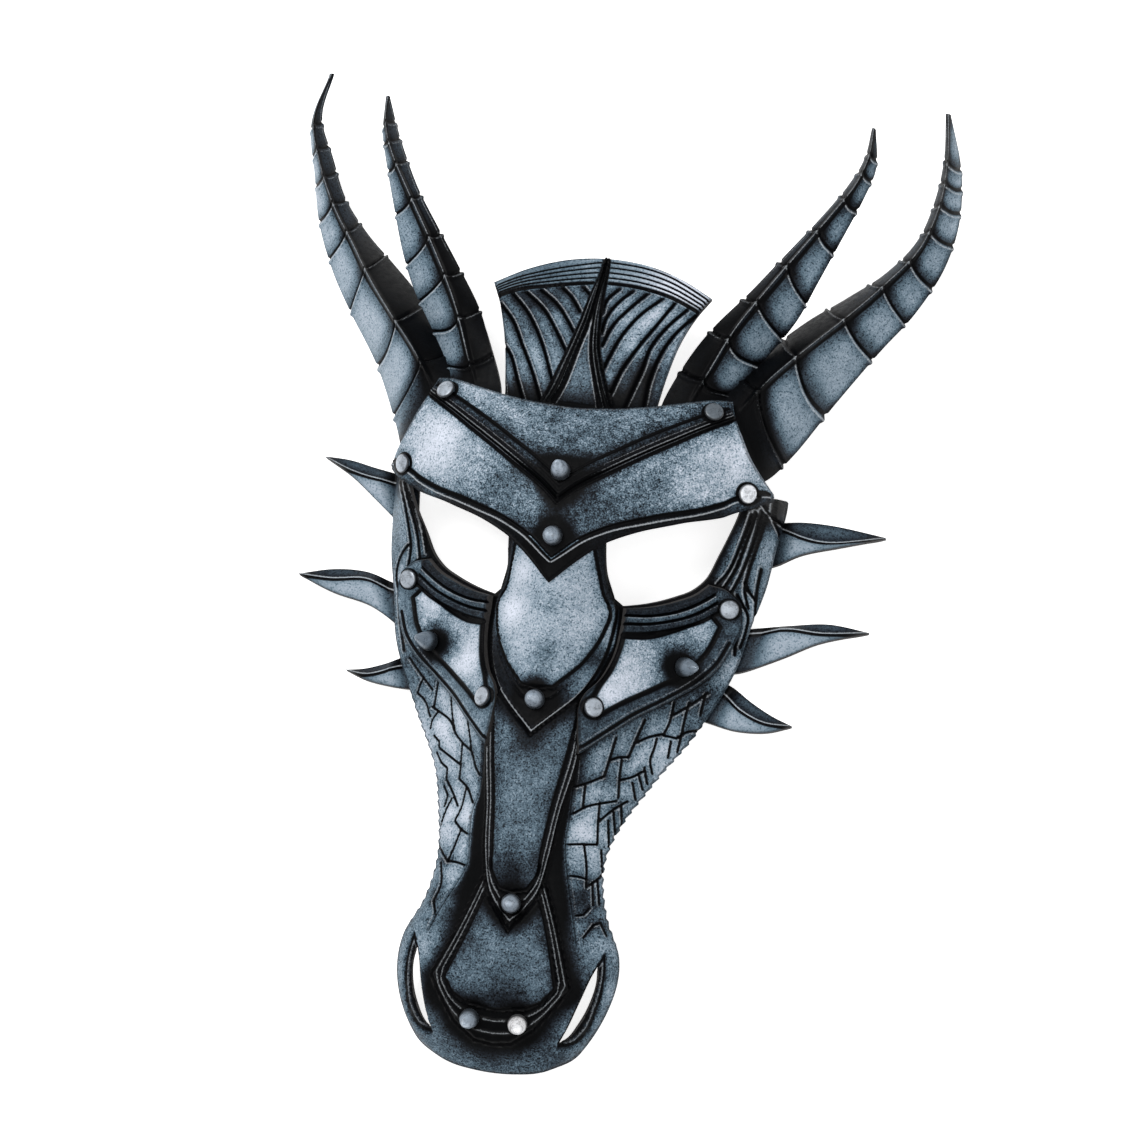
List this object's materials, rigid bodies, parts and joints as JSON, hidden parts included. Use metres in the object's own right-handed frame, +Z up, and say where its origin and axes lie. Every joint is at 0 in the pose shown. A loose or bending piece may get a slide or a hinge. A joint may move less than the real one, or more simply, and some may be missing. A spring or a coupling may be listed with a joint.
{
  "type": "leather dragon mask",
  "caption": "Moulded and painted leather dragon face mask with swept-back folded horns, a fanned crest, cheek spikes and cone studs, lying on its rim.",
  "frame": {"origin": "on the surface that the mask lies on, under the middle of its length and width", "axes": "+X to the right of someone facing the mask, +Y from the chin towards the horns, +Z up, out of the face"},
  "size_m": [0.319, 0.467, 0.0831],
  "materials": {
    "shell_leather": "moulded leather, sponged blue-grey and airbrushed black, satin",
    "plate_leather": "moulded leather, sponged pale blue-grey with black airbrushed edges, satin",
    "crest_leather": "moulded leather, dark grey with black grooves, satin",
    "horn_leather": "folded leather, speckled blue-grey shading to black, satin",
    "spike_leather": "folded leather, blue-grey shading to black at the root, satin",
    "stud_metal": "metal rivets and cone studs brushed over with pale grey paint"
  },
  "bodies": {
    "root": {"face_shell": "shell_leather", "forehead_plate": "plate_leather", "cheek_plate_right": "plate_leather", "cheek_plate_left": "plate_leather", "crest": "crest_leather", "outer_horn_right": "horn_leather", "outer_horn_left": "horn_leather", "inner_horn_right": "horn_leather", "inner_horn_left": "horn_leather", "cheek_spike_1_right": "spike_leather", "cheek_spike_1_left": "spike_leather", "cheek_spike_2_right": "spike_leather", "cheek_spike_2_left": "spike_leather", "cheek_spike_3_right": "spike_leather", "cheek_spike_3_left": "spike_leather", "forehead_rivet_upper_right": "stud_metal", "forehead_rivet_upper_left": "stud_metal", "forehead_rivet_lower_right": "stud_metal", "forehead_rivet_lower_left": "stud_metal", "cheek_rivet_outer_right": "stud_metal", "cheek_rivet_outer_left": "stud_metal", "cheek_rivet_inner_right": "stud_metal", "cheek_rivet_inner_left": "stud_metal", "cheek_stud_right": "stud_metal", "cheek_stud_left": "stud_metal", "nose_tip_stud_right": "stud_metal", "nose_tip_stud_left": "stud_metal", "forehead_stud": "stud_metal", "brow_stud": "stud_metal", "nose_stud": "stud_metal", "snout_stud": "stud_metal"}
  },
  "joints": []
}
